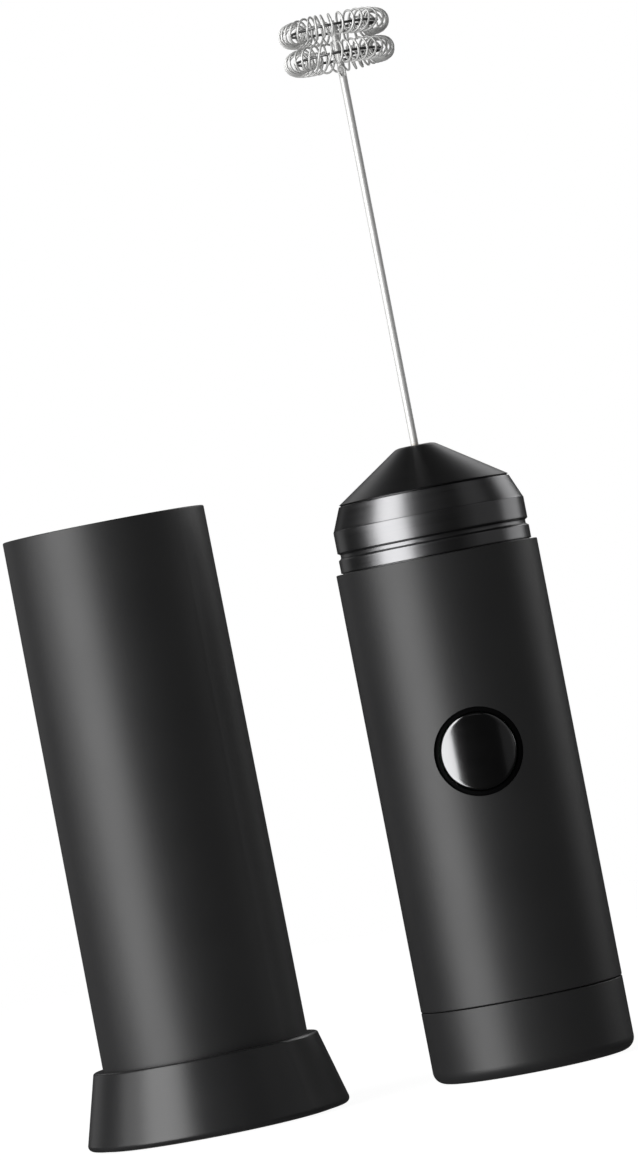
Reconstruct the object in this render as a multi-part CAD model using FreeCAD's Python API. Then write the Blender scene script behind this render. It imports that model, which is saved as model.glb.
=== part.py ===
"""Battery milk frother with its cover stand, as an assembly of separate pieces.

Millimetres, +Z up.  The origin is on the table, at the middle of the frother's cap.  The
frother stands on its cap and the cover stand is beside it, towards -X.  -Y is the front.
"""
import FreeCAD, Part
import math
import os

V = FreeCAD.Vector
X, Y, Z = V(1, 0, 0), V(0, 1, 0), V(0, 0, 1)

# ---- driving dimensions ------------------------------------------------------------------
HANDLE_R = 19.0                  # outside of the handle tube and of its cap
TUBE_BORE_R = 17.7
SEAM_Z = 13.7                    # where the cap meets the handle tube
SEAM_GAP = 0.06
HANDLE_TOP = 96.4
CAP_CORNER_R = 2.3
CAP_FLOOR = 1.8

NECK_R = 18.0                    # both turned bands of the neck
GROOVE_R = 17.35
GROOVE_LOW, GROOVE_HIGH = 99.0, 100.35
GROOVE_SLOPE = 0.4
CHAMFER_LOW, CHAMFER_HIGH = 104.48, 108.8
CHAMFER_R = 16.1
SHADOW_GAP_R = 15.5              # the dark line between the neck and the cone
NECK_FOOT_Z = 92.5               # the neck plugs into the tube down to here
CONE_LOW, CONE_R, CONE_TIP_R, CONE_TIP = 108.95, 15.9, 3.6, 117.45

BUTTON_Z = 59.7
BUTTON_R = 7.25
BUTTON_TRAVEL = 1.0
RING_BORE_R, RING_R = 7.35, 8.22
RING_SUNK = 0.55                 # how far the black ring lies below the handle's surface

SHAFT_R = 0.72                   # whisk wire
SHAFT_RUN = 0.05                 # running clearance of turning shafts
COIL_MAJOR, COIL_R, WIRE_R = 8.2, 2.1, 0.25
COIL_Z = (191.3, 196.6)
COIL_TURNS = 34

STAND_X = -59.7                  # axis of the cover stand
MOUTH_Z = 114.1
COVER_MOUTH_R, COVER_FOOT_R = 19.0, 19.3
COVER_BORE_R = 18.1
RIM_Z, RIM_R, FLARE_R = 14.4, 21.15, 24.95
SOCKET_R, SOCKET_Z = 19.36, 4.0
FOOT_R, FOOT_BORE_R, FOOT_HIGH = 22.0, 18.0, 1.5     # rubber ring under the stand
FOOT_PROUD = 0.3
TUBE_WALL_R = 17.6               # the cover's bore below the lip round its mouth
LIP_LOW, LIP_HIGH = 14.0, 12.0   # the lip's slope, measured down from the mouth

CELL_R, CELL_LENGTH, CELL_X = 7.25, 49.5, 7.35
CELL_BOTTOM = 9.05

SPIGOT_R, SPIGOT_BORE_R, SPIGOT_TOP = 16.9, 14.9, 24.4
LUG_R, LUG_Z, LUG_REACH = 1.2, 22.0, 17.5
LIFT, TWIST = 7.0, math.radians(30.0)
SEAL_GROOVE_R, SEAL_Z = 15.95, 15.9
PIVOT_TOP, PIVOT_HEAD_R, PIVOT_PIN_R = 5.2, 3.0, 0.8
DISC_LOW, DISC_HIGH = 3.2, 4.6   # contact carrier's disc
LINER_BORE_R, LINER_R, LINER_TOP = 17.0, 17.66, 26.0

CHASSIS_R, CHASSIS_BORE_R = 17.6, 16.4
CHASSIS_LOW, CHASSIS_HIGH = 26.2, 92.0
MOTOR_R, MOTOR_LOW, MOTOR_HIGH = 10.2, 68.9, 93.5
MOUNT_Z, MOUNT_THICK = 93.5, 2.0
DRIVE_R = 1.0                    # motor shaft


# ---- small helpers -----------------------------------------------------------------------
def save(name, shape):
    shape.exportStep(f"parts/{name}.step")


def rod(radius, low, high, at=(0.0, 0.0)):
    """An upright cylinder."""
    return Part.makeCylinder(radius, high - low, V(at[0], at[1], low), Z)


def ring(outer, inner, low, high, at=(0.0, 0.0)):
    return rod(outer, low, high, at).cut(rod(inner, low - 1, high + 1, at))


def along_y(radius, low, high, x=0.0, z=0.0):
    return Part.makeCylinder(radius, high - low, V(x, low, z), Y)


def block(x, y, z):
    """A box from (low, high) pairs."""
    return Part.makeBox(x[1] - x[0], y[1] - y[0], z[1] - z[0], V(x[0], y[0], z[0]))


def turned(outline):
    """A solid of revolution about the upright axis, from (radius, height) points."""
    face = Part.Face(Part.makePolygon([V(r, 0, z) for r, z in outline + outline[:1]]))
    return face.revolve(V(0, 0, 0), Z, 360)


def hoop(major, minor, z, at=(0.0, 0.0)):
    return Part.makeTorus(major, minor, V(at[0], at[1], z), Z)


def round_edges(solid, radius, low, high, least_r):
    """Round the circular edges between two heights that are at least so far from the axis."""
    edges = [e for e in solid.Edges
             if isinstance(e.Curve, Part.Circle) and low <= e.CenterOfMass.z <= high
             and e.Curve.Radius >= least_r]
    return solid.makeFillet(radius, edges)


def together(shapes):
    return shapes[0].multiFuse(shapes[1:]).removeSplitter()


# ---- cover stand -------------------------------------------------------------------------
def cover_base():
    """Flared foot with a socket for the tube and a groove for the rubber ring."""
    base = turned([(0, FOOT_PROUD), (FLARE_R, FOOT_PROUD), (RIM_R, RIM_Z), (SOCKET_R, RIM_Z),
                   (SOCKET_R, SOCKET_Z), (0, SOCKET_Z)])
    base = round_edges(base, 0.9, FOOT_PROUD - 0.1, FOOT_PROUD + 0.1, FLARE_R - 0.1)
    base = round_edges(base, 0.5, RIM_Z - 0.1, RIM_Z + 0.1, RIM_R - 0.1)
    base = base.cut(ring(FOOT_R, FOOT_BORE_R, FOOT_PROUD - 1, FOOT_HIGH))
    base = base.cut(rod(14.0, FOOT_PROUD - 1, 2.2))
    base.translate(V(STAND_X, 0, 0))
    return base


def foot_ring():
    return ring(FOOT_R, FOOT_BORE_R, 0.0, FOOT_HIGH, (STAND_X, 0))


def cover_tube():
    low = SOCKET_Z + 0.1
    outer = turned([(0, low), (COVER_FOOT_R, low), (COVER_FOOT_R, RIM_Z),
                    (COVER_MOUTH_R, MOUTH_Z), (0, MOUTH_Z)])
    bore = turned([(0, low - 1), (TUBE_WALL_R, low - 1), (TUBE_WALL_R, MOUTH_Z - LIP_LOW),
                   (COVER_BORE_R, MOUTH_Z - LIP_HIGH), (COVER_BORE_R, MOUTH_Z + 1),
                   (0, MOUTH_Z + 1)])
    tube = outer.cut(bore)
    tube = round_edges(tube, 0.25, MOUTH_Z - 0.1, MOUTH_Z + 0.1, COVER_BORE_R - 0.1)
    tube.translate(V(STAND_X, 0, 0))
    return tube


# ---- battery cap -------------------------------------------------------------------------
def cap_shell():
    cap = round_edges(rod(HANDLE_R, 0, SEAM_Z - SEAM_GAP), CAP_CORNER_R, -0.1, 0.1, 1)
    cap = round_edges(cap, 0.2, SEAM_Z - 1, SEAM_Z, 1)
    cap = cap.cut(rod(SPIGOT_BORE_R, CAP_FLOOR, SEAM_Z + 1))
    spigot = ring(SPIGOT_R, SPIGOT_BORE_R, SEAM_Z - 2, SPIGOT_TOP)
    boss = rod(2.0, CAP_FLOOR - 0.1, PIVOT_TOP)
    lug = Part.makeCylinder(LUG_R, LUG_REACH - 16.0, V(16.0, 0, LUG_Z), X)
    lugs = [lug, lug.rotated(V(0, 0, 0), Z, 180)]
    cap = together([cap, spigot, boss] + lugs)
    cap = cap.cut(ring(SPIGOT_R + 1, SEAL_GROOVE_R, SEAL_Z - 0.5, SEAL_Z + 0.5))
    return cap.cut(rod(PIVOT_PIN_R, 2.0, PIVOT_TOP + 1))


def cap_seal():
    return hoop(SEAL_GROOVE_R + 0.5, 0.48, SEAL_Z)


def pivot_screw():
    return together([rod(PIVOT_HEAD_R, PIVOT_TOP, PIVOT_TOP + 1.2),
                     rod(PIVOT_PIN_R, 2.0, PIVOT_TOP + 0.1)])


# ---- contact carrier that turns in the cap -----------------------------------------------
def contact_disc():
    disc = ring(SPIGOT_BORE_R - 0.2, 2.0 + SHAFT_RUN, DISC_LOW, DISC_HIGH)
    keys = [block((side * 13.9 - 0.6, side * 13.9 + 0.6), (-2, 2), (DISC_HIGH - 0.1, 6.2))
            for side in (-1, 1)]
    return together([disc] + keys)


def bridge_contact():
    """Strip that joins the two cells' lower ends, open in the middle for the pivot screw."""
    strip = block((-12, 12), (-5.0, 5.0), (DISC_HIGH, DISC_HIGH + 0.35))
    return strip.cut(rod(PIVOT_HEAD_R + 0.3, 4, 6))


def battery_springs():
    """Each cell's cone spring, as four separate hoops."""
    hoops = []
    for side in (-1, 1):
        for turn in range(4):
            hoops.append(hoop(3.9 - 0.65 * turn, 0.35, 5.3 + 1.12 * turn, (side * CELL_X, 0)))
    return Part.makeCompound(hoops)


# ---- handle ------------------------------------------------------------------------------
def handle_tube():
    tube = ring(HANDLE_R, TUBE_BORE_R, SEAM_Z + SEAM_GAP, HANDLE_TOP)
    tube = round_edges(tube, 0.2, HANDLE_TOP - 0.1, HANDLE_TOP + 0.1, HANDLE_R - 0.1)
    tube = round_edges(tube, 0.2, SEAM_Z, SEAM_Z + 0.2, HANDLE_R - 0.1)
    return tube.cut(along_y(RING_R, -HANDLE_R - 1, 0, z=BUTTON_Z))


def bayonet_ring():
    """Liner with two slanted slots, open at the bottom, that the cap's lugs ride down."""
    liner = ring(LINER_R, LINER_BORE_R, SEAM_Z + 0.6, LINER_TOP)
    slot_r = LUG_R + 0.3
    run = LINER_BORE_R * TWIST
    length = math.hypot(run, LIFT) + 3.0
    middle = TWIST / 2
    slot = Part.makeCylinder(slot_r, 3.0, V(0, 0, 0), X)
    slot = slot.fuse(block((0, 3), (-slot_r, slot_r), (-length, 0)))
    slot.translate(V(LINER_BORE_R - 1.5, run / 2, LIFT / 2))
    slot.rotate(V(0, run / 2, LIFT / 2), X, -math.degrees(math.atan2(run, LIFT)))
    slot.rotate(V(0, 0, 0), Z, -math.degrees(middle))
    slot.translate(V(0, 0, LUG_Z - LIFT / 2))
    return liner.cut(slot).cut(slot.rotated(V(0, 0, 0), Z, 180))


def chassis():
    """Both moulded halves that hold the cells and the motor, with their screw bosses."""
    shell = ring(CHASSIS_R, CHASSIS_BORE_R, CHASSIS_LOW, CHASSIS_HIGH)
    envelope = rod(CHASSIS_R, CHASSIS_LOW, CHASSIS_HIGH)
    bosses = [along_y(2.2, -14, 14, x, z).common(envelope) for x, z in screw_places()]
    body = together([shell] + bosses)
    for x, z in screw_places():
        body = body.cut(along_y(1.0, -8, 8, x, z)).cut(along_y(1.9, 8, 20, x, z))
    body = body.cut(along_y(9.2, -20, -9, z=BUTTON_Z))
    half = block((-20, 20), (0, 20), (0, 120))
    return body.cut(half), body.common(half)


def screw_places():
    return [(x, z) for x in (-13.2, 13.2) for z in (77.0, 88.0)]


def chassis_screws():
    return Part.makeCompound([along_y(1.0, -7.5, 8, x, z).fuse(along_y(1.8, 8, 9.4, x, z))
                              for x, z in screw_places()])


def battery(side, nub_up):
    at = (side * CELL_X, 0)
    low = CELL_BOTTOM if nub_up else CELL_BOTTOM + 1.0
    can = round_edges(rod(CELL_R, low, low + CELL_LENGTH, at), 0.5, 0, 100, CELL_R - 0.1)
    nub_low = low + CELL_LENGTH if nub_up else low - 1.0
    return can.fuse(rod(2.75, nub_low, nub_low + 1.0, at))


def battery_partition():
    disc = rod(CHASSIS_BORE_R - 0.05, 60.6, 62.2)
    disc = disc.cut(block((-20, 20), (-20, -7.9), (60, 63)))
    return disc.cut(rod(0.65, 60, 63, (12, 4))).cut(rod(0.65, 60, 63, (-12, 4)))


def battery_contacts():
    plates = []
    for side in (-1, 1):
        x = side * CELL_X
        plate = block((x - 5.5, x + 5.5), (-4, 5.5), (60.2, 60.6))
        plates.append(plate.fuse(rod(1.5, 59.6, 60.3, (x, 0))))
    return Part.makeCompound(plates)


def lead(side):
    """A motor lead from its contact plate up to a motor terminal, in straight runs."""
    r = 0.6
    start, knee, end = V(side * 12, 4, 60.6), V(side * 12, 4, 64.2), V(side * 5.6, 1.2, 64.2)
    runs = []
    for a, b in ((start, knee), (knee, end)):
        runs.append(Part.makeCylinder(r, (b - a).Length, a, b - a))
    return together(runs + [Part.makeSphere(r, knee)])


def switch_bracket():
    plate = block((-11, 11), (-8.85, -7.95), (52.7, 66.7))
    arms = [block((s - 1, s + 1), (-13.5, -8), (52.7, 56)) for s in (-10, 10)]
    return together([plate] + [arm.common(rod(CHASSIS_BORE_R, 50, 70)) for arm in arms])


def switch_board():
    board = block((-7.5, 7.5), (-9.9, -8.85), (52.7, 66.7))
    for x, z in board_screw_places():
        board = board.cut(along_y(0.7, -11, -8, x, z))
    return board


def board_screw_places():
    return ((-5.9, BUTTON_Z - 5.8), (5.9, BUTTON_Z + 5.8))


def board_screws():
    return Part.makeCompound([along_y(0.7, -9.9, -8.85, x, z).fuse(
        along_y(1.3, -10.7, -9.9, x, z)) for x, z in board_screw_places()])


def switch_body():
    low, high = BUTTON_Z - 3, BUTTON_Z + 3
    body = block((-3, 3), (-13.4, -9.9), (low, high))
    return body.cut(along_y(1.75, -14, -10.3, z=BUTTON_Z))


def switch_plunger():
    return along_y(1.7, -15.2, -11.6, z=BUTTON_Z)


def button_ring():
    """Bezel let into the tube, with a wider housing behind it that guides the button."""
    skin = rod(HANDLE_R - RING_SUNK, 40, 80)
    front = along_y(RING_R, -20, -15.0, z=BUTTON_Z).common(skin)
    rear = along_y(9.0, -17.5, -11.0, z=BUTTON_Z).common(rod(17.55, 40, 80))
    body = together([front, rear])
    body = body.cut(along_y(RING_BORE_R, -21, -10, z=BUTTON_Z))
    return body.cut(along_y(8.0, -15.9, -10, z=BUTTON_Z))


def button_cap():
    """Keeps the handle's curve; a flange behind the bezel holds it in."""
    face = along_y(BUTTON_R, -20, -14.9, z=BUTTON_Z).common(rod(HANDLE_R, 40, 80))
    edges = [e for e in face.Edges if e.CenterOfMass.y < -16.5 and e.Length > 20]
    face = face.makeFillet(0.25, edges)
    flange = along_y(7.9, -15.85, -15.1, z=BUTTON_Z)
    return together([face, flange]).cut(along_y(5.6, -15.2, -14, z=BUTTON_Z))


def button_spring():
    """Return spring around the switch, as separate hoops."""
    turns = 4
    hoops = []
    for turn in range(turns):
        y = -14.9 + (14.9 - 10.2) * turn / (turns - 1)
        hoops.append(Part.makeTorus(5.0, 0.25, V(0, y, BUTTON_Z), Y))
    return Part.makeCompound(hoops)


# ---- neck --------------------------------------------------------------------------------
def neck_collar():
    """Plug, two bands with a groove between them, and a chamfer under the cone."""
    plug_r = TUBE_BORE_R - 0.02
    outer = turned([(0, NECK_FOOT_Z), (plug_r, NECK_FOOT_Z), (plug_r, HANDLE_TOP),
                    (NECK_R, HANDLE_TOP), (NECK_R, GROOVE_LOW),
                    (GROOVE_R, GROOVE_LOW + GROOVE_SLOPE),
                    (GROOVE_R, GROOVE_HIGH - GROOVE_SLOPE), (NECK_R, GROOVE_HIGH),
                    (NECK_R, CHAMFER_LOW), (CHAMFER_R, CHAMFER_HIGH), (0, CHAMFER_HIGH)])
    bore = turned([(0, 91), (16.2, 91), (16.2, 95.5), (15.4, 96.2), (15.4, 105),
                   (14.4, 105.6), (14.4, 111), (0, 111)])
    return outer.cut(bore)


def nose_cone():
    """Hollow cone with a spigot below, and a seat for the bush and seal in its tip."""
    spigot_r = 14.38
    outer = turned([(0, 106.2), (spigot_r, 106.2), (spigot_r, CHAMFER_HIGH),
                    (SHADOW_GAP_R, CHAMFER_HIGH), (SHADOW_GAP_R, CONE_LOW - 0.05),
                    (CONE_R, CONE_LOW), (CONE_TIP_R, CONE_TIP), (0, CONE_TIP)])
    inner = turned([(0, 105), (13.2, 105), (13.2, 109.3), (4.4, 115.2), (4.4, 115.21), (0, 115.21)])
    seal_seat = ring(4.4, 3.4, 112.0, 115.3)
    return together([outer.cut(inner), seal_seat.cut(rod(3.4, 100, 120))]).cut(
        rod(2.4, 113, 119))


def tip_bush():
    return together([ring(2.4, SHAFT_R + SHAFT_RUN, 113.8, CONE_TIP - 0.15),
                     ring(3.3, SHAFT_R + SHAFT_RUN, 113.8, 115.1)])


def shaft_seal():
    return ring(3.4, SHAFT_R + SHAFT_RUN, 112.2, 113.7)


# ---- motor -------------------------------------------------------------------------------
def motor_can():
    can = rod(MOTOR_R, MOTOR_LOW, MOTOR_HIGH).cut(rod(9.6, MOTOR_LOW - 1, MOTOR_HIGH - 0.8))
    can = can.fuse(rod(3.0, MOTOR_HIGH - 0.1, 95.2)).cut(rod(2.2, 90, 100))
    for x in (-6, 6):
        can = can.cut(rod(1.0, 90, 95, (x, 0)))
    return can


def motor_end_bell():
    bell = together([rod(MOTOR_R, 66.9, MOTOR_LOW), rod(9.55, MOTOR_LOW - 0.1, 70.2)])
    bell = bell.cut(rod(2.2, 60, 68.3)).cut(rod(6.2, 68.3, 71))
    bell = bell.cut(rod(DRIVE_R + SHAFT_RUN, 60, 75))
    for side in (-1, 1):
        bell = bell.cut(block((side * 5.6 - 0.3, side * 5.6 + 0.3), (-1, 1), (66, 72)))
    return bell


def motor_bushes():
    bore = DRIVE_R + SHAFT_RUN
    return Part.makeCompound([ring(2.2, bore, 66.7, 68.3), ring(2.2, bore, 92.7, 95.3)])


def motor_magnets():
    sleeve = ring(9.55, 8.0, 73.5, 88.5)
    gap = block((-3.2, 3.2), (-12, 12), (70, 92))
    return Part.makeCompound(sleeve.cut(gap).Solids)


def motor_brushes():
    """Two leaf brushes that bear on the commutator."""
    leaves = []
    for side in (-1, 1):
        x = side * 2.75
        leaves.append(block(sorted((x - 0.15 * side, x + 0.2 * side)), (-0.9, 0.9), (71, 72.6)))
        arm = block(sorted((x, side * 5.4)), (-0.9, 0.9), (70.4, 71.0))
        leaves[-1] = leaves[-1].fuse(arm)
    return Part.makeCompound(leaves)


def motor_terminals():
    return Part.makeCompound([block((s * 5.6 - 0.25, s * 5.6 + 0.25), (-0.9, 0.9), (64.9, 70.4))
                              for s in (-1, 1)])


def motor_cradle():
    cradle = ring(CHASSIS_BORE_R - 0.05, MOTOR_R + 0.05, 70.5, 73.5)
    for x in (-13.2, 13.2):
        cradle = cradle.cut(along_y(2.25, -20, 20, x, 77))
    return cradle


def motor_mount():
    plate = ring(16.1, 3.05, MOUNT_Z, MOUNT_Z + MOUNT_THICK)
    for x in (-6, 6):
        plate = plate.cut(rod(1.0, 90, 99, (x, 0)))
    return plate


def motor_screws():
    return Part.makeCompound([rod(1.0, 91.5, 95.5, (x, 0)).fuse(rod(1.9, 95.5, 96.6, (x, 0)))
                              for x in (-6, 6)])


# ---- everything that spins ---------------------------------------------------------------
def rotor_core():
    core = rod(7.5, 75, 87)
    for spoke in range(3):
        notch = block((3.4, 6.2), (-1.6, 1.6), (70, 90)).fuse(
            block((5.5, 8.5), (-0.5, 0.5), (70, 90)))
        core = core.cut(notch.rotated(V(0, 0, 0), Z, 120 * spoke))
    return core.cut(rod(DRIVE_R, 70, 90))


def motor_windings():
    return Part.makeCompound([ring(6.6, 1.6, 73.2, 75.0), ring(6.6, 1.6, 87.0, 88.8)])


def commutator():
    return ring(2.5, DRIVE_R, 70.6, 73.0)


def shaft_coupling():
    return rod(2.5, 97.2, 107.0).cut(rod(DRIVE_R, 90, 101.2)).cut(rod(SHAFT_R, 101.2, 110))


def whisk_frame():
    """Core hoop inside each coil, with one spoke each back to the wire shaft."""
    wire = 0.25
    pieces = []
    for z in COIL_Z:
        spoke = Part.makeCylinder(wire, COIL_MAJOR, V(0, 0, z), X)
        pieces.append(together([hoop(COIL_MAJOR, wire, z), spoke]).cut(rod(SHAFT_R, 180, 200)))
    return Part.makeCompound(pieces)


def whisk_coil(z):
    """One coil ring as its separate wire turns, each standing across the core hoop."""
    turns = []
    for turn in range(COIL_TURNS):
        angle = 2 * math.pi * (turn + 0.5) / COIL_TURNS
        centre = V(COIL_MAJOR * math.cos(angle), COIL_MAJOR * math.sin(angle), z)
        turns.append(Part.makeTorus(COIL_R, WIRE_R, centre, V(-math.sin(angle), math.cos(angle), 0)))
    return Part.makeCompound(turns)


def main():
    os.makedirs("parts", exist_ok=True)
    chassis_front, chassis_rear = chassis()
    nodes = {
        "cover_base": cover_base(), "foot_ring": foot_ring(), "cover_tube": cover_tube(),
        "cap_shell": cap_shell(), "cap_seal": cap_seal(), "pivot_screw": pivot_screw(),
        "contact_disc": contact_disc(), "bridge_contact": bridge_contact(),
        "battery_springs": battery_springs(),
        "handle_tube": handle_tube(), "bayonet_ring": bayonet_ring(),
        "chassis_front": chassis_front, "chassis_rear": chassis_rear,
        "chassis_screws": chassis_screws(),
        "battery_1": battery(-1, True), "battery_2": battery(1, False),
        "battery_partition": battery_partition(), "battery_contacts": battery_contacts(),
        "lead_red": lead(1), "lead_black": lead(-1),
        "switch_bracket": switch_bracket(), "switch_board": switch_board(),
        "board_screws": board_screws(), "switch_body": switch_body(),
        "button_ring": button_ring(), "button_spring": button_spring(),
        "button_cap": button_cap(), "switch_plunger": switch_plunger(),
        "neck_collar": neck_collar(), "nose_cone": nose_cone(),
        "tip_bush": tip_bush(), "shaft_seal": shaft_seal(),
        "motor_can": motor_can(), "motor_end_bell": motor_end_bell(),
        "motor_bushes": motor_bushes(), "motor_magnets": motor_magnets(),
        "motor_brushes": motor_brushes(), "motor_terminals": motor_terminals(),
        "motor_cradle": motor_cradle(), "motor_mount": motor_mount(),
        "motor_screws": motor_screws(),
        "motor_shaft": rod(DRIVE_R, 66.2, 101.0), "rotor_core": rotor_core(),
        "motor_windings": motor_windings(), "commutator": commutator(),
        "shaft_coupling": shaft_coupling(),
        "whisk_shaft": rod(SHAFT_R, 101.4, COIL_Z[1] + 0.6),
        "whisk_frame": whisk_frame(),
        "whisk_coil_lower": whisk_coil(COIL_Z[0]), "whisk_coil_upper": whisk_coil(COIL_Z[1]),
    }
    for name, shape in nodes.items():
        save(name, shape)
        print(name, len(shape.Solids), "solids", round(shape.Volume, 1), "mm3",
              "" if shape.isValid() else "INVALID")
    print(len(nodes), "nodes")


main()
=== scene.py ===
# %% [markdown]
# # A milk frother and its cover stand
#
# The frother is a matte black handle with two cells and a small motor in it, a turned
# neck of dark chrome, a thin steel wire and a whisk head of two wound coils. Its cover
# stands beside it in a flared base. The engineering model gives every piece its place and
# size. This script gives the pieces their finish, and makes anew those that need finer
# shapes than the engineering model has: the wound wire, the turned neck and the button.

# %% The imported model
import math

import bpy
from mathutils import Matrix, Vector


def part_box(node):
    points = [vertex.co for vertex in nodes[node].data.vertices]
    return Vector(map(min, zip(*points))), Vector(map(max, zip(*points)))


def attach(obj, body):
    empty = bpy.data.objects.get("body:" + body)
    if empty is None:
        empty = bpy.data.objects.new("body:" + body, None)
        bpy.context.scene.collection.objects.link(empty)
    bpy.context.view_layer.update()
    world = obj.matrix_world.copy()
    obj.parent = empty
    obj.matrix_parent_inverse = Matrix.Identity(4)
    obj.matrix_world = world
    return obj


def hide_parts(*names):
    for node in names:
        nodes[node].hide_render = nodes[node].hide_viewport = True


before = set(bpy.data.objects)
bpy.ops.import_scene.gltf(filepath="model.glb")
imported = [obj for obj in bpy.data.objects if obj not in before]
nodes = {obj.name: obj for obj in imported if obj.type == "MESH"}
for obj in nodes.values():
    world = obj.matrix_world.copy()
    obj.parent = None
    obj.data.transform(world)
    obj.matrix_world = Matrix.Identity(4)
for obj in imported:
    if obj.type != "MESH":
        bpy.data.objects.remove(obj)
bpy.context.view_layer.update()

MM = 0.001

# %% [markdown]
# ## Camera, floor and light
#
# The camera looks across the table from some way off through a long lens, so the two tubes
# stay nearly parallel. It is rolled, which makes both items lean to the left. It
# comes first, because how fine a piece must be depends on how large it is seen.

# %% Camera
VIEW_LENS = 200.3                     # millimetres, on a sensor 36 mm tall
VIEW_FROM = Vector((-0.0537, -1.200, 0.080))
VIEW_TO = Vector((-0.0223, 0.0, 0.0962))
VIEW_ROLL = math.radians(-11.0)

camera_data = bpy.data.cameras.new("view")
camera_data.lens = VIEW_LENS
camera_data.sensor_width = 36.0
camera_data.clip_start = 0.01
camera = bpy.data.objects.new("view", camera_data)
bpy.context.scene.collection.objects.link(camera)
aim = (VIEW_TO - VIEW_FROM).to_track_quat("-Z", "Y").to_matrix().to_4x4()
camera.matrix_world = Matrix.Translation(VIEW_FROM) @ aim @ Matrix.Rotation(VIEW_ROLL, 4, "Z")
bpy.context.scene.camera = camera
bpy.context.scene.view_settings.view_transform = "Standard"

# %% [markdown]
# A finish is a small graph of shader nodes. Writing it as sums keeps it readable: `Value`
# wraps one socket, and adding or multiplying two of them adds the Math node that does it.
# Every other node comes from `Finish.node`.

# %% Shader helper
class Value:
    """One output of a shader node that can be used in a sum."""

    def __init__(self, finish, socket):
        self.finish, self.socket = finish, socket

    def sum(self, operation, first, second):
        return self.finish.node("Math", {"operation": operation}, {0: first, 1: second})

    def __add__(self, other):
        return self.sum("ADD", self, other)

    def __mul__(self, other):
        return self.sum("MULTIPLY", self, other)


class Finish:
    """A material with a Principled shader, and short ways to feed it."""

    def __init__(self, name, **constants):
        self.material = bpy.data.materials.new(name)
        self.material.use_nodes = True
        self.tree = self.material.node_tree
        self.shader = self.tree.nodes["Principled BSDF"]
        for socket, value in constants.items():
            self.shader.inputs[socket.replace("_", " ")].default_value = value

    def node(self, kind, settings=None, sockets=None, out=0):
        made = self.tree.nodes.new("ShaderNode" + kind)
        for setting, value in (settings or {}).items():
            if setting == "stops":
                self.set_stops(made.color_ramp, value)
            else:
                setattr(made, setting, value)
        for socket, value in (sockets or {}).items():
            if isinstance(value, Value):
                self.tree.links.new(value.socket, made.inputs[socket])
            else:
                made.inputs[socket].default_value = value
        return Value(self, made.outputs[out])

    @staticmethod
    def set_stops(ramp, stops):
        for place, _ in stops[2:]:
            ramp.elements.new(place)
        for element, (place, shade) in zip(ramp.elements, sorted(stops)):
            element.position = place
            element.color = (shade, shade, shade, 1.0)

    def feed(self, socket, value):
        self.tree.links.new(value.socket, self.shader.inputs[socket])
        return self

    def place(self, scale=(1.0, 1.0, 1.0)):
        """The point on the piece, stretched by scale, in metres times that scale."""
        at = self.node("TexCoord", out="Object")
        return self.node("Mapping", {}, {"Vector": at, "Scale": scale})

    def noise(self, size, detail=2.0, rough=0.5, stretch=(1.0, 1.0, 1.0)):
        """Cloudy values from 0 to 1 with blobs about so many millimetres across."""
        scale = tuple(k / (size * MM) for k in stretch)
        return self.node("TexNoise", {}, {"Vector": self.place(scale), "Scale": 1.0,
                                          "Detail": detail, "Roughness": rough})

    def ramp(self, value, *stops):
        return self.node("ValToRGB", {"stops": list(stops)}, {"Fac": value})

    def tint(self, amount, dark, light):
        """A colour between two, by amount."""
        mix = self.node("Mix", {"data_type": "RGBA"}, {0: amount, 6: (*dark, 1.0),
                                                       7: (*light, 1.0)}, out=2)
        return self.feed("Base Color", mix)

    def bump(self, height, depth_mm):
        """Hills so many millimetres high."""
        bumped = self.node("Bump", {}, {"Height": height, "Strength": 1.0,
                                        "Distance": depth_mm * MM})
        return self.feed("Normal", bumped)


# %% [markdown]
# The background is plain white. A dark object in front of white keeps its deep blacks
# because only a few panels of light are mirrored in it, so the world is bright where the
# camera sees it directly and dim to everything else.

# %% World and floor
WORLD_DIM = 0.03
world = bpy.data.worlds.new("studio")
bpy.context.scene.world = world
world.use_nodes = True
world_nodes, world_links = world.node_tree.nodes, world.node_tree.links
seen = world_nodes["Background"]
seen.inputs["Color"].default_value = (1.0, 1.0, 1.0, 1.0)
dim = world_nodes.new("ShaderNodeBackground")
dim.inputs["Strength"].default_value = WORLD_DIM
path = world_nodes.new("ShaderNodeLightPath")
choose = world_nodes.new("ShaderNodeMixShader")
world_links.new(path.outputs["Is Camera Ray"], choose.inputs["Fac"])
world_links.new(dim.outputs["Background"], choose.inputs[1])
world_links.new(seen.outputs["Background"], choose.inputs[2])
world_links.new(choose.outputs["Shader"], world_nodes["World Output"].inputs["Surface"])

# The table is a bright sheet that fades into the background, so no horizon shows. It lies a
# hair under the items' feet, so that no two faces share one place.
FLOOR_SIZE, FLOOR_DROP, FLOOR_GLOW = 4.0, 0.0001, 0.95
bpy.ops.mesh.primitive_plane_add(size=FLOOR_SIZE, location=(0.0, 0.0, -FLOOR_DROP))
floor = bpy.context.object
floor.name = "table_top"
floor.visible_glossy = False
floor.visible_shadow = False
paper = Finish("pale_paper", Roughness=0.9)
paper.tint(paper.noise(60.0), (0.075, 0.075, 0.075), (0.090, 0.090, 0.090))
paper.shader.inputs["Emission Color"].default_value = (1.0, 1.0, 1.0, 1.0)
paper.shader.inputs["Emission Strength"].default_value = FLOOR_GLOW
reach = paper.node("VectorMath", {"operation": "LENGTH"}, {"Vector": paper.place()}, out=1)
paper.feed("Alpha", paper.ramp(reach, (0.0, 1.0), (0.20, 1.0), (0.75, 0.0)))
floor.data.materials.append(paper.material)

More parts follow.
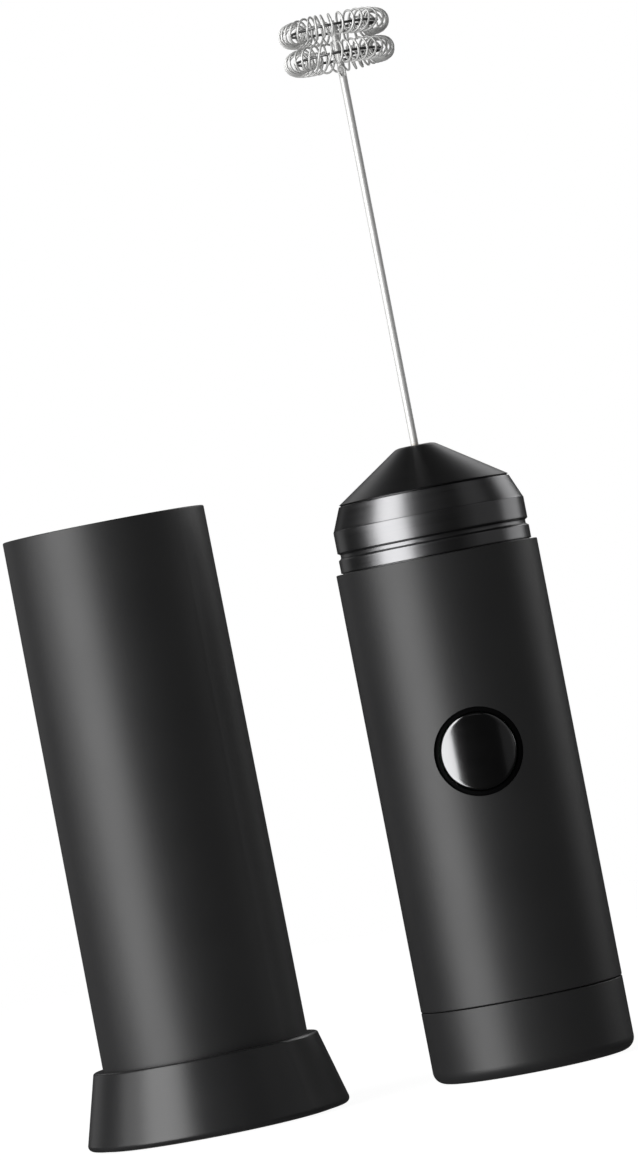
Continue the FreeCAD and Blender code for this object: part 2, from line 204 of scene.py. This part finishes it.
# %% [markdown]
# Soft panels make the streaks on the round pieces. Two strong ones stand to the left, one
# above the other, so their streak falls about a quarter of the way across each tube. The
# lower one reaches below the table's level, and the table casts no shadow, so the light
# reaches the feet of both items. A low strip to the right lights the edge of the shiny neck,
# and barely the matte tubes, because a matte surface gathers its light from all round the
# mirror direction and the strip fills little of that. High panels behind give the cone its
# sheen, and faint ones in front keep the shaded side from going black. The cover has a strip
# of its own, which lights nothing else. No panel is seen by the camera itself.

# %% Lights
MIDDLE = Vector((-0.02, 0.0, 0.10))


def panel(name, angle_deg, distance, width, height, centre_z, radiance, aim_z=None):
    """A soft box so many degrees round from the camera, positive to the right.

    It stands upright, unless it's aimed at a height.
    """
    angle = math.radians(angle_deg)
    place = Vector((distance * math.sin(angle), -distance * math.cos(angle), centre_z))
    bpy.ops.object.light_add(type="AREA", location=place)
    light = bpy.context.object
    light.name = name
    light.data.shape = "RECTANGLE"
    light.data.size, light.data.size_y = width, height
    light.data.energy = radiance * math.pi * width * height
    toward = Vector((MIDDLE.x, MIDDLE.y, centre_z if aim_z is None else aim_z)) - place
    light.rotation_euler = toward.to_track_quat("-Z", "Y").to_euler()
    light.visible_camera = False
    return light


# The numbers are the angle, the distance, the width and height, the height of the centre,
# the strength and, for some, the height that the panel is aimed at.
panel("left_panel", -50.5, 1.2, 0.96, 1.25, 0.20, 6.2)
panel("left_high", -59.0, 1.2, 0.94, 1.1, 1.38, 6.6)
panel("left_wing", -86.0, 1.2, 0.46, 0.7, 0.32, 2.0)
panel("left_rear_panel", -140.0, 1.2, 0.5, 0.4, 0.22, 0.3)
panel("right_strip", 114.0, 1.2, 0.80, 0.24, 0.15, 1.65)
panel("right_high", 132.0, 1.2, 0.80, 0.40, 0.60, 1.7, 0.1)
panel("right_front_dim", 68.0, 1.4, 0.9, 2.0, 1.0, 0.21)
panel("front_right_dim", 44.0, 1.4, 0.5, 0.6, 0.25, 0.09)
panel("rear_right", 160.0, 1.4, 0.8, 0.60, 0.85, 0.85, 0.1)
panel("rear_left", -160.0, 1.4, 0.8, 0.60, 0.90, 0.40, 0.1)
panel("top_rear", 180.0, 1.6, 2.4, 0.8, 1.3, 0.28, 0.1)
panel("front_fill", 8.0, 2.2, 1.2, 0.6, 1.5, 0.20, 0.1)

# The frother would keep the right strip off its neighbour, so the cover has one of its own.
cover_side = bpy.data.collections.new("cover_side")
for name in ("cover_tube", "cover_base"):
    cover_side.objects.link(nodes[name])
cover_strip = panel("cover_strip", 108.0, 1.2, 0.30, 0.6, 0.25, 4.0)
cover_strip.light_linking.receiver_collection = cover_side
cover_strip.light_linking.blocker_collection = cover_side

# %% [markdown]
# ## Finishes
#
# The handle, cap and cover share one moulding finish: black with a fine, even grain that
# spreads the panels' light into a wide soft band. Two sizes of noise are enough: a grain
# for the bump and the roughness, and a cloud that changes the roughness and the tone.

# %% Moulded finishes
def moulded(name, dark, light, rough, grain_mm=0.22, grain_depth=0.012):
    """Matte moulding: a grain, cloudy gloss, and a slight change of shade."""
    made = Finish(name, IOR=1.45)
    grain, cloud = made.noise(grain_mm, 2.0), made.noise(14.0, 3.0)
    made.tint(cloud, dark, light)
    made.feed("Roughness", cloud * 0.07 + grain * 0.06 + (rough - 0.065))
    return made.bump(grain, grain_depth)


soft_black = moulded("soft_touch_black", (0.0080, 0.0080, 0.0083), (0.0104, 0.0104, 0.0107), 0.46)
stand_black = moulded("stand_black", (0.0085, 0.0085, 0.0088), (0.0110, 0.0110, 0.0114), 0.31)
inner_black = moulded("inner_moulding", (0.020, 0.020, 0.021), (0.028, 0.028, 0.029), 0.42, 0.4)
rubber = moulded("black_rubber", (0.014, 0.014, 0.014), (0.020, 0.020, 0.020), 0.75, 0.5, 0.03)

# %% [markdown]
# The neck was turned on a lathe and then plated, so very fine lines run round it. Noise
# that is squeezed along the axis and stretched round it makes such lines from the point's
# height alone.

# %% Metal finishes
def turned_metal(name, dark, light, rough, line_mm=0.12, depth=0.0016):
    """Metal with lathe marks round the upright axis."""
    made = Finish(name, Metallic=1.0)
    lines = made.noise(line_mm, 3.0, 0.65, (0.004, 0.004, 1.0))
    coarse = made.noise(0.9, 2.0, 0.5, (0.01, 0.01, 1.0))
    made.tint(coarse * 0.5 + lines * 0.5, dark, light)
    made.feed("Roughness", lines * 0.10 + coarse * 0.05 + (rough - 0.075))
    return made.bump(lines, depth)


def plain_metal(name, dark, light, rough, size_mm=1.5):
    """Metal with a slight cloudiness and fine scuffs."""
    made = Finish(name, Metallic=1.0)
    cloud, scuffs = made.noise(size_mm, 3.0), made.noise(0.15, 2.0)
    made.tint(cloud, dark, light)
    made.feed("Roughness", cloud * 0.08 + scuffs * 0.06 + (rough - 0.07))
    return made.bump(scuffs, 0.002)


dark_chrome = turned_metal("dark_chrome", (0.126, 0.126, 0.129), (0.156, 0.156, 0.159), 0.30)
cone_chrome = turned_metal("satin_dark_chrome", (0.060, 0.060, 0.062), (0.085, 0.085, 0.087), 0.34)
steel_wire = plain_metal("polished_steel_wire", (0.46, 0.46, 0.455), (0.56, 0.56, 0.55), 0.50, 3.0)
steel_wire.shader.inputs["Metallic"].default_value = 0.45
# Painted shade: the hoops' wire is given a dark colour for the shadow that it lies in inside the
# coils.
core_wire_painted_shade = plain_metal("core_wire_painted_shade", (0.10, 0.10, 0.10), (0.16, 0.16, 0.16), 0.45)
zinc = plain_metal("zinc_plate", (0.50, 0.50, 0.47), (0.66, 0.65, 0.60), 0.34)
nickel = plain_metal("nickel_strip", (0.52, 0.49, 0.44), (0.68, 0.65, 0.59), 0.28)
bronze = plain_metal("sintered_bronze", (0.40, 0.25, 0.10), (0.58, 0.38, 0.17), 0.42, 0.5)
copper = plain_metal("enamelled_copper", (0.42, 0.16, 0.06), (0.62, 0.27, 0.12), 0.30, 0.8)
core_steel = plain_metal("core_steel", (0.30, 0.30, 0.31), (0.42, 0.42, 0.43), 0.38, 0.8)

# %% [markdown]
# The button is a polished moulding. It keeps a trace of flow lines and fine wiping marks in
# its gloss, without which a black mirror looks like a hole.

# %% Glossy and small finishes
def glossy(name, dark, light, rough):
    made = Finish(name, IOR=1.52)
    cloud, wipes = made.noise(5.0, 2.0), made.noise(0.25, 2.0, 0.5, (1.0, 1.0, 0.15))
    made.tint(cloud, dark, light)
    made.feed("Roughness", wipes * 0.05 + (rough - 0.02))
    return made.bump(cloud, 0.02)


polished_black = plain_metal("polished_black_chrome", (0.118, 0.118, 0.120),
                             (0.140, 0.140, 0.142), 0.17, 4.0)
# The ring round the button is partly its own black moulding and partly painted shade. It is made
# near black and, with an IOR of 1.07, almost unreflecting, so it stands for the dark shadow in the
# gap round the button.
bezel_black = moulded("bezel_black", (0.0012, 0.0012, 0.0013), (0.0024, 0.0024, 0.0025),
                      0.55, 0.4)
bezel_black.shader.inputs["IOR"].default_value = 1.07
red_wire = glossy("red_insulation", (0.42, 0.020, 0.015), (0.55, 0.035, 0.025), 0.35)
black_wire = glossy("black_insulation", (0.010, 0.010, 0.010), (0.02, 0.02, 0.02), 0.35)
board_green = glossy("board_green", (0.015, 0.11, 0.045), (0.03, 0.17, 0.07), 0.30)
magnet_grey = moulded("ferrite", (0.07, 0.07, 0.075), (0.11, 0.11, 0.115), 0.55, 0.5)


def cell_wrap():
    """Shrink-wrapped cell: a dark sleeve, a copper-coloured band near one end."""
    made = Finish("cell_wrap", IOR=1.5)
    height = made.node("SeparateXYZ", {}, {"Vector": made.place((1 / MM, 1 / MM, 1 / MM))}, out=2)
    band = made.ramp(height * (1 / 100.0), (0.0, 0.0), (0.455, 0.0), (0.457, 1.0), (0.56, 1.0))
    made.tint(band, (0.02, 0.02, 0.022), (0.50, 0.24, 0.08))
    made.feed("Metallic", band * 0.8)
    return made.feed("Roughness", made.noise(3.0) * 0.1 + 0.25)


cell_skin = cell_wrap()

# %% Finishes on the engineering model's nodes
FINISH_OF = {
    soft_black: ["handle_tube", "cap_shell", "cover_tube"],
    stand_black: ["cover_base"],
    rubber: ["foot_ring", "cap_seal", "shaft_seal"],
    inner_black: ["contact_disc", "bayonet_ring", "chassis_front", "chassis_rear",
                  "battery_partition", "switch_bracket", "motor_end_bell", "motor_cradle",
                  "motor_mount", "shaft_coupling", "switch_plunger", "switch_body"],
    zinc: ["pivot_screw", "chassis_screws", "board_screws", "motor_screws"],
    nickel: ["bridge_contact", "battery_springs", "battery_contacts", "motor_terminals",
             "motor_can"],
    cell_skin: ["battery_1", "battery_2"],
    red_wire: ["lead_red"], black_wire: ["lead_black"], board_green: ["switch_board"],
    bezel_black: ["button_ring"], polished_black: ["button_cap"],
    dark_chrome: ["neck_collar"], cone_chrome: ["nose_cone"],
    bronze: ["tip_bush", "motor_bushes", "motor_brushes"],
    copper: ["commutator", "motor_windings"], magnet_grey: ["motor_magnets"],
    core_steel: ["rotor_core"],
    steel_wire: ["motor_shaft", "whisk_shaft", "whisk_frame", "whisk_coil_lower",
                 "whisk_coil_upper", "button_spring"],
}
for finish, names in FINISH_OF.items():
    for name in names:
        nodes[name].data.materials.clear()
        nodes[name].data.materials.append(finish.material)
print("nodes with a finish:", sum(len(names) for names in FINISH_OF.values()))

# %% [markdown]
# ## The turned neck and cone
#
# Both are lathe work. The real turner starts from a bar and cuts the outline, and the same
# is done here: a circle is added at the first point of the outline, extruded straight up or
# down, and scaled to the next radius, point by point. Bridging the last loop to the first
# closes the wall. A bevel then takes the sharpness off every corner, because an edge with no
# radius never catches light.

# %% Lathe
LATHE_STEPS = 144


def only(piece):
    """Makes one object the only selected one, and the active one."""
    bpy.ops.object.select_all(action="DESELECT")
    piece.select_set(True)
    bpy.context.view_layer.objects.active = piece


def settle(piece, name, finish):
    """Names a finished piece, puts its place into its mesh, and gives it its finish."""
    only(piece)
    piece.name = piece.data.name = name
    bpy.ops.object.transform_apply(location=True, rotation=True, scale=True)
    piece.data.materials.clear()
    piece.data.materials.append(finish.material)
    print(name, len(piece.data.polygons), "faces")
    return piece


def apply_modifier(piece, kind, **settings):
    only(piece)
    modifier = piece.modifiers.new(kind.lower(), kind)
    for key, value in settings.items():
        setattr(modifier, key, value)
    bpy.ops.object.modifier_apply(modifier=modifier.name)


def with_guards(outline, guard=0.3, longest=0.9):
    """Adds a point beside each end of a long step, so its smooth shading stays true."""
    guarded = [outline[0]]
    for (r0, z0), (r1, z1) in zip(outline, outline[1:] + outline[:1]):
        length = math.hypot(r1 - r0, z1 - z0)
        if length > longest:
            for share in (guard / length, 1 - guard / length):
                guarded.append((r0 + (r1 - r0) * share, z0 + (z1 - z0) * share))
        guarded.append((r1, z1))
    return guarded[:-1]


def turn(name, outline, finish, edge_mm=0.07):
    """A closed wall of revolution round an upright axis, from (radius, height) in mm."""
    (first_r, first_z), *others = with_guards(outline)
    bpy.ops.object.select_all(action="DESELECT")
    bpy.ops.mesh.primitive_circle_add(vertices=LATHE_STEPS, radius=first_r * MM,
                                      location=(0.0, 0.0, first_z * MM))
    piece = bpy.context.object
    bpy.ops.object.mode_set(mode="EDIT")
    bpy.ops.mesh.select_all(action="SELECT")
    radius, height = first_r, first_z
    for next_r, next_z in others:
        rise = (0.0, 0.0, (next_z - height) * MM)
        bpy.ops.mesh.extrude_region_move(TRANSFORM_OT_translate={"value": rise})
        bpy.ops.transform.resize(value=(next_r / radius, next_r / radius, 1.0))
        radius, height = next_r, next_z
    bpy.ops.mesh.select_all(action="DESELECT")
    bpy.ops.mesh.select_non_manifold(extend=False)
    bpy.ops.mesh.bridge_edge_loops()
    bpy.ops.mesh.select_all(action="SELECT")
    bpy.ops.mesh.normals_make_consistent(inside=False)
    bpy.ops.object.mode_set(mode="OBJECT")
    apply_modifier(piece, "BEVEL", width=edge_mm * MM, segments=3,
                   limit_method="ANGLE", angle_limit=math.radians(14.0))
    settle(piece, name, finish)
    bpy.ops.object.shade_smooth_by_angle(angle=math.radians(24.0))
    return piece


def span_mm(node):
    """A node's lowest and highest corner in millimetres."""
    low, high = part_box(node)
    return [v / MM for v in low], [v / MM for v in high]


# %% Neck collar
neck_low, neck_high = span_mm("neck_collar")
band_r = neck_high[0]
foot_z, top_z = neck_low[2], neck_high[2]
shoulder_z = span_mm("handle_tube")[1][2]
band_z = shoulder_z + 0.2             # a dark line is left over the handle's shoulder
groove_low, groove_high, groove_r = shoulder_z + 2.6, shoulder_z + 3.95, band_r - 0.5
LOW_SLOPE, HIGH_SLOPE = 0.38, 0.30    # how far up the groove's two sides lean
chamfer_z, chamfer_r = shoulder_z + 8.08, band_r - 1.9
FLAT_HIGH, FLAT_WIDE = 0.12, 0.10     # the narrow flat at the chamfer's corner
FOOT_R, PLUG_R = 17.60, 17.68         # the plug inside the handle, slimmer at its foot
PLUG_BORE_R, BORE_R = 16.2, 15.4      # the bore, which narrows above the plug's foot

collar = turn("turned_neck", [
    (FOOT_R, foot_z), (PLUG_R, foot_z + 0.3), (PLUG_R, band_z),
    (band_r, band_z), (band_r, groove_low),
    (groove_r, groove_low + LOW_SLOPE), (groove_r, groove_high - HIGH_SLOPE),
    (band_r, groove_high), (band_r, chamfer_z - FLAT_HIGH),
    (band_r - FLAT_WIDE, chamfer_z), (chamfer_r, top_z), (BORE_R, top_z),
    (BORE_R, foot_z + 3.7), (PLUG_BORE_R, foot_z + 3.0), (PLUG_BORE_R, foot_z)], dark_chrome)
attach(collar, "handle")
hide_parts("neck_collar")

# %% Cone
cone_low, cone_high = span_mm("nose_cone")
cone_z, tip_z = cone_high[2] - 8.35, cone_high[2]
cone_r = cone_high[0] + 0.12
tip_r, hole_r, bush_seat_r = 3.6, 2.42, 4.4
SPIGOT_R, SPIGOT_BORE_R = 14.36, 13.2  # the part of the cone that sits in the neck
GAP_R, GAP_LOW, GAP_HIGH = 15.75, 0.22, 0.05   # the dark step under the cone's edge
cone = turn("turned_cone", [
    (SPIGOT_R, cone_low[2]), (SPIGOT_R, cone_z - GAP_LOW),
    (GAP_R, cone_z - GAP_LOW), (GAP_R, cone_z - GAP_HIGH),
    (cone_r, cone_z), (tip_r + 0.6, tip_z - 0.42), (tip_r + 0.1, tip_z - 0.14),
    (tip_r - 0.5, tip_z), (hole_r, tip_z), (hole_r, tip_z - 2.5),
    (bush_seat_r, tip_z - 2.7), (SPIGOT_BORE_R, cone_z - 0.1),
    (SPIGOT_BORE_R, cone_low[2])], cone_chrome)
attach(cone, "handle")
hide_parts("nose_cone")

# %% [markdown]
# ## The button
#
# The button is a polished disc with a round edge. It's drawn out of one circle: the filled
# circle is extruded towards the front and scaled, step by step round the edge, and then
# drawn inwards over the face. Last, a Simple Deform modifier bends the disc with the handle,
# a little more strongly, so that a panel of light is mirrored in it as an upright crescent,
# and the round edge mirrors the same panel as a thin bright rim. The disc is first made
# wider by as much as the bend will take from it. It is a disc and no more: the engineering
# model's cap has a skirt and a flange behind the face, which can't be seen.

# %% Button
button_low, button_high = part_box("button_cap")
button_z = (button_low[2] + button_high[2]) / 2
BUTTON_PROUD = 0.2                    # how far it stands out past the engineering model's cap
button_front = button_low[1] - BUTTON_PROUD * MM
FACE_R, FACE_CURVE, FACE_DEPTH, RIM = 7.25, 16.4, 1.5, 0.65
RIM_STEPS = 8
FACE_RINGS = (6.2, 5.6, 5.0, 4.4, 3.8, 3.2, 2.6, 2.0, 1.4, 0.8, 0.2)

bpy.ops.object.select_all(action="DESELECT")
bpy.ops.mesh.primitive_circle_add(vertices=144, radius=FACE_R * MM, fill_type="NGON",
                                  location=(0.0, button_front + FACE_DEPTH * MM, button_z),
                                  rotation=(math.radians(90.0), 0.0, 0.0))
button = bpy.context.object
bpy.ops.object.mode_set(mode="EDIT")
bpy.ops.mesh.select_all(action="SELECT")
bpy.ops.mesh.extrude_region_move(TRANSFORM_OT_translate={"value": (0, 0, 0)})
steps = [(FACE_R, FACE_DEPTH - RIM)]
for step in range(1, RIM_STEPS + 1):
    turned = math.radians(90.0 * step / RIM_STEPS)
    steps.append((FACE_R - RIM * (1 - math.cos(turned)),
                  FACE_DEPTH - RIM * (1 - math.sin(turned))))
steps += [(radius, FACE_DEPTH) for radius in FACE_RINGS]
radius, height = FACE_R, 0.0
for next_radius, next_height in steps:
    forward = (0.0, -(next_height - height) * MM, 0.0)
    bpy.ops.mesh.extrude_region_move(TRANSFORM_OT_translate={"value": forward})
    share = next_radius / radius
    bpy.ops.transform.resize(value=(share, 1.0, share), center_override=(
        0.0, button_front + (FACE_DEPTH - next_height) * MM, button_z))
    radius, height = next_radius, next_height
bpy.ops.mesh.select_all(action="SELECT")
bpy.ops.mesh.remove_doubles(threshold=0.00001)
bpy.ops.mesh.normals_make_consistent(inside=False)
half_bend = math.asin(FACE_R / FACE_CURVE)
bpy.ops.transform.resize(value=(half_bend * FACE_CURVE / FACE_R, 1.0, 1.0))
bpy.ops.object.mode_set(mode="OBJECT")
bpy.ops.object.transform_apply(location=False, rotation=True, scale=True)
bpy.ops.object.empty_add(location=(0.0, button_front, button_z))
bend_at = bpy.context.object
apply_modifier(button, "SIMPLE_DEFORM", deform_method="BEND", deform_axis="Z",
               angle=2 * half_bend, origin=bend_at)
bpy.data.objects.remove(bend_at)
settle(button, "polished_button", polished_black)
print("button size in mm:", [round(v / MM, 2) for v in button.dimensions])
bpy.ops.object.shade_smooth_by_angle(angle=math.radians(40.0))
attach(button, "button")
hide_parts("button_cap")

# %% [markdown]
# ## The whisk head
#
# The head is one thin wire wound like a spring, bent round into a ring, twice. Its path is a
# helix whose axis is itself a circle, so a formula gives its points, and a curve with a
# round bevel gives them a wire's thickness. A real hand-threaded coil is never even: the
# turns crowd here and gape there, lean a little, and differ in size. A few slow waves of
# different lengths, added round the ring, give that unevenness, and the same one each run.

# %% Wire
WIRE_SIDES = 3                        # bevel resolution: 10 faces round a wire


def wire(name, points, radius_mm, body, closed=False, finish=steel_wire):
    """A round wire through points in millimetres, as a closed mesh."""
    data = bpy.data.curves.new(name, "CURVE")
    data.dimensions = "3D"
    data.bevel_depth = radius_mm * MM
    data.bevel_resolution = WIRE_SIDES
    data.use_fill_caps = True
    spline = data.splines.new("POLY")
    spline.points.add(len(points) - 1)
    for slot, (x, y, z) in zip(spline.points, points):
        slot.co = (x * MM, y * MM, z * MM, 1.0)
    spline.use_cyclic_u = closed
    piece = bpy.data.objects.new(name, data)
    bpy.context.scene.collection.objects.link(piece)
    only(piece)
    bpy.ops.object.convert(target="MESH")
    piece = bpy.context.object
    settle(piece, name, finish)
    bpy.ops.object.shade_smooth()
    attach(piece, body)
    return piece


# %% Coils
COIL_TURNS, TURN_POINTS = 34, 22
COIL_MAJOR, COIL_MINOR, COIL_WIRE = 8.25, 2.12, 0.21


def coil_point(share, phase):
    """A point of the wound wire, so far round the ring from 0 to 1, about its own middle."""
    ring = 2 * math.pi * share
    crowding = 0.030 * math.sin(3 * ring + phase) + 0.022 * math.sin(7 * ring + 2 * phase)
    turn_angle = 2 * math.pi * COIL_TURNS * share
    size = COIL_MINOR * (1.0 - 0.035 + 0.035 * math.sin(5 * ring + 3 * phase))
    lean = 0.075 * math.cos(turn_angle + 0.6 * math.sin(4 * ring + phase))
    angle = ring + crowding + lean
    reach = COIL_MAJOR + size * math.cos(turn_angle)
    return (reach * math.cos(angle), reach * math.sin(angle), size * math.sin(turn_angle))


for name, node, phase in (("lower_coil", "whisk_coil_lower", 0.4),
                          ("upper_coil", "whisk_coil_upper", 2.1)):
    low, high = span_mm(node)
    middle = (low[2] + high[2]) / 2
    count = COIL_TURNS * TURN_POINTS
    path = [coil_point(step / count, phase) for step in range(count)]
    coil = wire(name, [(x, y, z + middle) for x, y, z in path], COIL_WIRE, "whisk", True)
    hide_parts(node)

# %% [markdown]
# Inside each coil runs a stouter wire that holds it open. Its finish is painted shade:
# it is coloured dark for the shadow that it lies in inside the coil. It leaves the upright
# wire, reaches out like a spoke, and bends round into the hoop.

# %% Core hoops
HOOP_WIRE = 0.25
SPOKE_OUT = ((0.5, 0.0), (3.0, 0.05), (5.4, 0.25), (6.9, 0.8), (7.7, 1.8))


def hoop_path(z):
    """A spoke and the hoop that it bends into."""
    steps = range(22, 356, 6)
    arc = [(COIL_MAJOR * math.cos(math.radians(a)), COIL_MAJOR * math.sin(math.radians(a)), z)
           for a in steps]
    return [(x, y, z) for x, y in SPOKE_OUT] + arc


for number, node in enumerate(("whisk_coil_lower", "whisk_coil_upper")):
    low, high = span_mm(node)
    wire(f"core_hoop_{number + 1}", hoop_path((low[2] + high[2]) / 2), HOOP_WIRE,
                      "whisk", finish=core_wire_painted_shade)
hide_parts("whisk_frame")

# %% [markdown]
# Just under the lower coil the wire's end comes out, bends over in a small loop, and ends
# beside the upright wire. It keeps the coil from sliding down.

# %% Wire eye
EYE_TOP = span_mm("whisk_coil_lower")[0][2] + 0.4
EYE_X, EYE_Y, EYE_R, EYE_LEG, EYE_WIRE = -0.15, -0.92, 0.6, 1.25, 0.16


def eye_path():
    """A small arch: up one leg, over, and down the other."""
    points = [(EYE_X + EYE_R, EYE_Y, EYE_TOP - EYE_R - EYE_LEG)]
    for step in range(0, 17):
        angle = math.pi * step / 16
        points.append((EYE_X + EYE_R * math.cos(angle), EYE_Y,
                       EYE_TOP - EYE_R + EYE_R * math.sin(angle)))
    return points + [(EYE_X - EYE_R * 0.8, EYE_Y, EYE_TOP - EYE_R - 0.7),
                     (EYE_X - EYE_R * 0.3, EYE_Y, EYE_TOP - EYE_R - EYE_LEG)]


wire("wire_eye", eye_path(), EYE_WIRE, "whisk")
